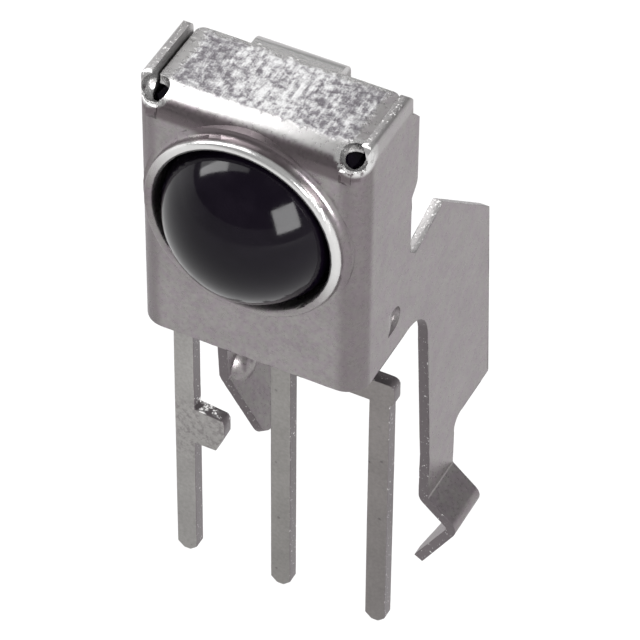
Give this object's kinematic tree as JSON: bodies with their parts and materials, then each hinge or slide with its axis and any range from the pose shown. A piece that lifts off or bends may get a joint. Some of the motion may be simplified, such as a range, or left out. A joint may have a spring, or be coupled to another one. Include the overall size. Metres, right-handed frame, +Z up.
{
  "type": "infrared receiver module",
  "caption": "Black lens moulding on straight leads, held in a folded metal shield case with a raised collar, side wings and snap-in legs, for through-hole boards.",
  "frame": {"origin": "middle of the lead row, halfway through the lead thickness, on the face of the circuit board that the wings stand on", "axes": "+Z up from the board, the lens looks along -Y, +X to the right seen from the front"},
  "size_m": [0.0065, 0.0087, 0.0163],
  "materials": {
    "tinned_sheet": "satin tin plate",
    "black_epoxy": "polished, infrared-passing",
    "tinned_lead": "satin tin plate",
    "silicon": "polished",
    "gold_wire": "bright"
  },
  "bodies": {
    "root": {"shield_case": "tinned_sheet", "lens_moulding": "black_epoxy", "lead_output": "tinned_lead", "lead_ground": "tinned_lead", "lead_supply": "tinned_lead", "photodiode_chip": "silicon", "amplifier_chip": "silicon", "bond_wires": "gold_wire"}
  },
  "joints": []
}
